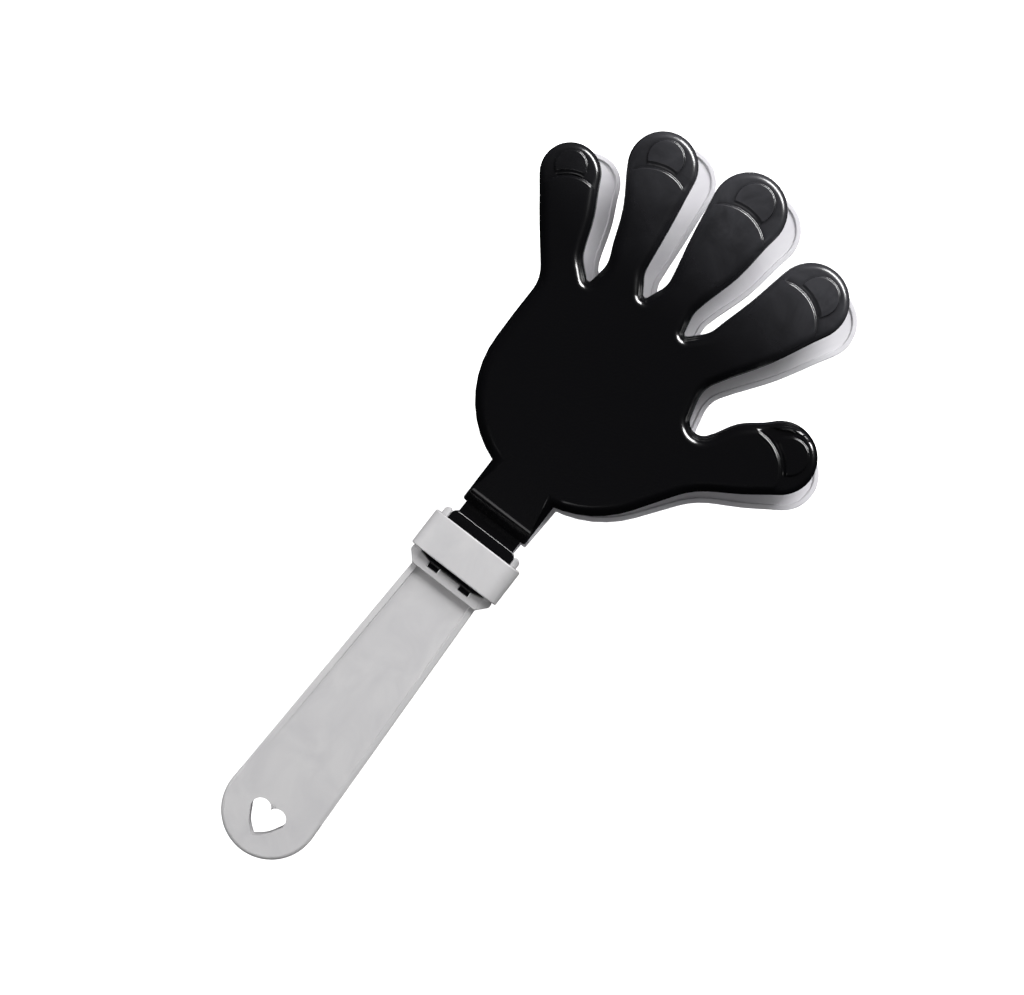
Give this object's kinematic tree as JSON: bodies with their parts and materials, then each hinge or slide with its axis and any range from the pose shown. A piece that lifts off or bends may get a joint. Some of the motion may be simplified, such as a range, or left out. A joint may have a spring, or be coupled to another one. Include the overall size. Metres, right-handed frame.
{
  "type": "hand clapper",
  "caption": "Party noisemaker: moulded plastic hands stacked on a flat handle, swinging on thin moulded waists so that they clap together when shaken.",
  "frame": {"origin": "middle of the collar's back face, on the surface that the clapper lies on", "axes": "+X to the thumb side, +Y from the handle to the fingers, +Z to the front hand"},
  "size_m": [0.1366, 0.2781, 0.0374],
  "materials": {
    "black_plastic": "moulded, glossy",
    "white_plastic": "moulded, satin"
  },
  "bodies": {
    "grip": {"handle": "white_plastic", "collar": "white_plastic", "front_root": "black_plastic", "middle_root": "white_plastic", "rear_root": "black_plastic", "front_hinge": "black_plastic", "middle_hinge": "white_plastic", "rear_hinge": "black_plastic"},
    "front_palm": {"front_hand": "black_plastic"},
    "middle_palm": {"middle_hand": "white_plastic"},
    "rear_palm": {"rear_hand": "black_plastic"}
  },
  "joints": [
    {"name": "front_swing", "type": "hinge", "parent": "grip", "child": "front_palm", "pos_m": [0, 0.0127, 0.0179], "axis": [1, 0, 0], "range_deg": [-3, 30], "stiffness_Nm_per_rad": 0.5, "springref_deg": 2.86, "deforming": ["front_hinge"]},
    {"name": "middle_swing", "type": "hinge", "parent": "grip", "child": "middle_palm", "pos_m": [0.00066, 0.01268, 0.0115], "axis": [0.9986, -0.0523, 0], "range_deg": [0, 2.5], "stiffness_Nm_per_rad": 0.5, "deforming": ["middle_hinge"]},
    {"name": "rear_swing", "type": "hinge", "parent": "grip", "child": "rear_palm", "pos_m": [0.00064, 0.01268, 0.0051], "axis": [-0.9987, 0.0506, 0], "range_deg": [0, 30], "stiffness_Nm_per_rad": 0.5, "deforming": ["rear_hinge"]}
  ]
}
